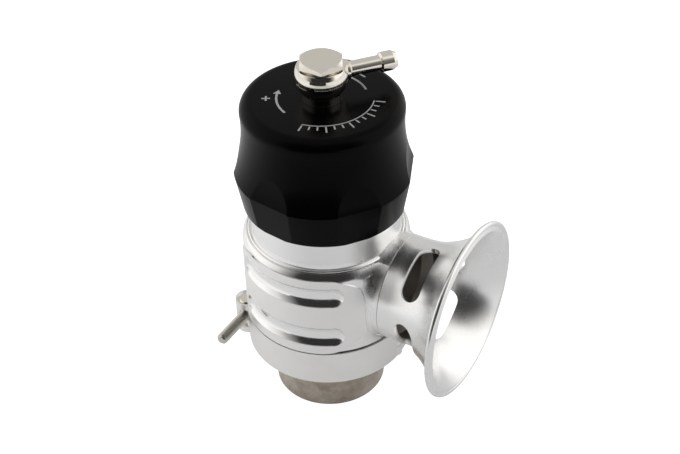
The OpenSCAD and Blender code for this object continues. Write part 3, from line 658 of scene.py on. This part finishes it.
def add_cap_print():
    """Plain marks on the cap: a turning arrow with plus, one with minus, and a scale of ticks."""
    verts, faces = [], []

    def spot(r, a):
        return (r * MM * math.cos(math.radians(a)), r * MM * math.sin(math.radians(a)), CAP_TOP_Z + INK_T)

    def patch(points):
        faces.append(tuple(range(len(verts), len(verts) + len(points))))
        verts.extend(points)

    def band(r0, r1, a0, a1):
        steps = max(1, round(abs(a1 - a0) / PRINT_STEP))
        edges = [a0 + (a1 - a0) * i / steps for i in range(steps + 1)]
        for low, high in zip(edges, edges[1:]):
            patch([spot(r0, low), spot(r1, low), spot(r1, high), spot(r0, high)])

    def arrow(a0, a1):
        tip = a1 + math.copysign(ARROW_HEAD_TURN, a1 - a0)
        band(ARROW_R - ARROW_HALF_W, ARROW_R + ARROW_HALF_W, a0, a1)
        barbs = [spot(ARROW_R - ARROW_HEAD_HALF_W, a1), spot(ARROW_R + ARROW_HEAD_HALF_W, a1)]
        patch(barbs + [spot(ARROW_R, tip)])

    def sign(a, plus):
        low, high = SIGN_R - SIGN_HALF_W, SIGN_R + SIGN_HALF_W
        band(low, high, a - SIGN_HALF_TURN, a + SIGN_HALF_TURN)
        if plus:
            band(SIGN_R - SIGN_REACH, low, a - UPRIGHT_HALF_TURN, a + UPRIGHT_HALF_TURN)
            band(high, SIGN_R + SIGN_REACH, a - UPRIGHT_HALF_TURN, a + UPRIGHT_HALF_TURN)

    arrow(*TIGHTEN_ARROW)
    sign(PLUS_AT, True)
    arrow(*LOOSEN_ARROW)
    sign(MINUS_AT, False)
    for k in range(SCALE_PARTS + 1):
        a = SCALE_START + SCALE_SPAN * k / SCALE_PARTS
        reach = TICK_R if k % LONG_TICK_EVERY else LONG_TICK_R
        band(TICK_FOOT_R, reach, a - TICK_HALF_TURN, a + TICK_HALF_TURN)
    band(*SCALE_LINE_R, SCALE_START - SCALE_LINE_OVER, SCALE_START + SCALE_SPAN + SCALE_LINE_OVER)
    marks = add_mesh("cap_print", verts, faces, ink())
    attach(marks, "screw_cap")


# Studio: swing is the angle from the camera's side, positive to the right; rise is the angle up
STUDIO_CENTRE = Vector((0, 0, 0.06))
TENT_RADIUS = 1.5
TENT_COLUMNS, TENT_ROWS = 48, 16
TENT_LOWEST, TENT_RISE = -3, 93
TENT_COLOUR = (1.0, 0.985, 0.96, 1)
TENT_GREY = 0.62
# Each panel: swing from and to, rise from and to, softness of its edges (all degrees), glow
TENT_PANELS = (
    (-145, -72, -30, 52, 16, 1.1),
    (60, 150, -30, 44, 7, 1.2),
    (52, 104, -30, 66, 9, 1.2),
    (-52, 48, -30, 59, 13, 0.03),
)
SHEET_START, SHEET_SPAN, SHEET_STEPS = -48, 66, 12
SHEET_NEAR, SHEET_FAR, SHEET_LIFT = 0.42, 1.45, 0.001
SHEET_GLOW = (0.01, 0.03)
DEGREES = 180 / math.pi


def only_reflected(piece):
    """A studio panel that polished metal mirrors, and that casts no light or shadow."""
    piece.visible_camera = False
    piece.visible_diffuse = False
    piece.visible_shadow = False
    piece.visible_transmission = False


def emission(n, colour, strength):
    """Makes a node tree a plain emitter."""
    n.tree.nodes.remove(n.shader)
    glow = n.add("ShaderNodeEmission", {"Color": colour, "Strength": strength})
    n.tree.links.new(glow.outputs[0], n.tree.nodes["Material Output"].inputs[0])
    return n.material


def tent_glow():
    """Light tent: grey walls and roof, bright panels left and right, a dark side behind the camera."""
    n = Nodes("light_tent")
    x, y, z = n.axes(n.place())
    side = n.along(x, y, direction(CAMERA_AZIMUTH + 90))
    front = n.along(x, y, direction(CAMERA_AZIMUTH))
    swing = n.math("MULTIPLY", n.math("ARCTAN2", side, front), DEGREES)
    rise = n.math("MULTIPLY", n.math("ARCSINE", n.math("DIVIDE", z, TENT_RADIUS)), DEGREES)

    def between(value, low, high, soft):
        up = n.remap(value, low - soft, low + soft, 0, 1)
        down = n.remap(value, high - soft, high + soft, 1, 0)
        return n.math("MULTIPLY", up, down)

    glow = TENT_GREY
    for swing_low, swing_high, rise_low, rise_high, soft, level in TENT_PANELS:
        across = between(swing, swing_low, swing_high, soft)
        mask = n.math("MULTIPLY", across, between(rise, rise_low, rise_high, soft))
        glow = n.mix_value(mask, glow, level)
    return emission(n, TENT_COLOUR, glow)


def add_tent():
    """Dome round the set."""
    verts = []
    for r in range(TENT_ROWS + 1):
        e = math.radians(TENT_LOWEST + TENT_RISE * r / TENT_ROWS)
        out, up = TENT_RADIUS * math.cos(e), TENT_RADIUS * math.sin(e)
        for c in range(TENT_COLUMNS):
            a = 2 * math.pi * c / TENT_COLUMNS
            verts.append((out * math.cos(a), out * math.sin(a), up))
    tent = add_mesh("light_tent", verts, side_faces(TENT_ROWS + 1, TENT_COLUMNS), tent_glow())
    tent.location = STUDIO_CENTRE
    only_reflected(tent)


def add_dark_sheet():
    """Dark sheet on the floor on the camera's side, mostly to the left, seen only in mirrors."""
    verts, faces = [], []
    lift = Vector((0, 0, SHEET_LIFT))
    for i in range(SHEET_STEPS + 1):
        toward = direction(CAMERA_AZIMUTH + SHEET_START + SHEET_SPAN * i / SHEET_STEPS)
        verts += [toward * SHEET_NEAR + lift, toward * SHEET_FAR + lift]
    for i in range(SHEET_STEPS):
        faces.append((2 * i, 2 * i + 1, 2 * i + 3, 2 * i + 2))
    n = Nodes("dark_sheet")
    weave = n.noise(n.place(), scale=30)
    glow = n.remap(weave, 0, 1, SHEET_GLOW[0], SHEET_GLOW[1])
    only_reflected(add_mesh("dark_sheet", verts, faces, emission(n, grey(1), glow)))


def area_light(name, azimuth, elevation, distance, size, watts):
    """Soft lamp that shines at the valve and isn't mirrored in it."""
    toward = direction(azimuth, elevation)
    data = bpy.data.lights.new(name, "AREA")
    data.shape = "RECTANGLE"
    data.size, data.size_y = size
    data.energy = watts
    lamp = bpy.data.objects.new(name, data)
    lamp.location = STUDIO_CENTRE + toward * distance
    lamp.rotation_euler = toward.to_track_quat("Z", "Y").to_euler()
    lamp.visible_glossy = False
    bpy.context.scene.collection.objects.link(lamp)


def background_glow(tree, camera, mirrored):
    """Glow of the background for rays from the camera or through glass, and for mirrored ones."""
    path = tree.nodes.new("ShaderNodeLightPath")
    levels = {"Is Camera Ray": camera, "Is Glossy Ray": mirrored, "Is Transmission Ray": camera}
    total = None
    for name, level in levels.items():
        share = tree.nodes.new("ShaderNodeMath")
        share.operation = "MULTIPLY"
        if isinstance(level, bpy.types.NodeSocket):
            tree.links.new(level, share.inputs[1])
        else:
            share.inputs[1].default_value = level
        tree.links.new(path.outputs[name], share.inputs[0])
        if total:
            larger = tree.nodes.new("ShaderNodeMath")
            larger.operation = "MAXIMUM"
            tree.links.new(total, larger.inputs[0])
            tree.links.new(share.outputs[0], larger.inputs[1])
            share = larger
        total = share.outputs[0]
    return total


FLOOR_HALF = 6
FLOOR_GREY, FLOOR_PALER = grey(0.90), grey(0.94)
FLOOR_GLOW = 0.95
# Mirrored glow of the floor: lengths in metres, and how bright each place gets
BACK_LEFT_SWING = -130
BACK_LEFT_FROM, BACK_LEFT_FULL, BACK_LEFT_GLOW = -0.03, 0.14, 0.22
CLOSE_WITHIN, CLOSE_ENDS = 0.2, 0.4
PANELS_FROM, PANELS_FULL = 0.12, 0.32
MIDDLE_GLOW, PANELS_GLOW = 0.12, 0.5
WORLD_LIGHT = 0.35


def add_floor():
    """White table; in mirrors it is lighter just behind the valve, to its left and under the panels."""
    n = Nodes("floor")
    speck = n.noise(n.place(), scale=40)
    n.link(n.mix(speck, FLOOR_GREY, FLOOR_PALER), "Base Color")
    n.put(Roughness=0.9, Emission_Color=(1, 1, 1, 1), Specular_IOR_Level=0.0)
    x, y, _ = n.axes(n.place())
    behind = n.along(x, y, direction(CAMERA_AZIMUTH + BACK_LEFT_SWING))
    back_left = n.remap(behind, BACK_LEFT_FROM, BACK_LEFT_FULL, 0, BACK_LEFT_GLOW)
    close = n.remap(n.length(x, y), CLOSE_WITHIN, CLOSE_ENDS, 1, 0)
    aside = n.math("ABSOLUTE", n.along(x, y, direction(CAMERA_AZIMUTH + 90)))
    under_panels = n.remap(aside, PANELS_FROM, PANELS_FULL, MIDDLE_GLOW, PANELS_GLOW)
    mirrored = n.math("ADD", n.math("MULTIPLY", back_left, close), under_panels)
    n.link(background_glow(n.tree, FLOOR_GLOW, mirrored), "Emission Strength")
    s = FLOOR_HALF
    corners = [(-s, -s, 0), (s, -s, 0), (s, s, 0), (-s, s, 0)]
    add_mesh("floor", corners, [(0, 1, 2, 3)], n.material)


def add_world():
    """White background, and a weak even light from all round."""
    world = bpy.data.worlds.new("studio")
    bpy.context.scene.world = world
    world.use_nodes = True
    tree = world.node_tree
    background = tree.nodes["Background"]
    strength = tree.nodes.new("ShaderNodeMath")
    strength.operation = "MAXIMUM"
    strength.inputs[1].default_value = WORLD_LIGHT
    tree.links.new(background_glow(tree, camera=1.0, mirrored=1.0), strength.inputs[0])
    tree.links.new(strength.outputs[0], background.inputs["Strength"])
    background.inputs["Color"].default_value = (1, 1, 1, 1)


dress_nodes()
for smoothed, sharp_above in SHARP_ABOVE.items():
    smooth_shading(smoothed, sharp_above)
add_bolt()
add_spring()
add_cap_print()

add_camera()
add_floor()
add_world()
add_tent()
add_dark_sheet()
area_light("top_light", azimuth=10, elevation=75, distance=0.9, size=(0.7, 0.7), watts=2.2)
bpy.context.scene.view_settings.view_transform = "Standard"
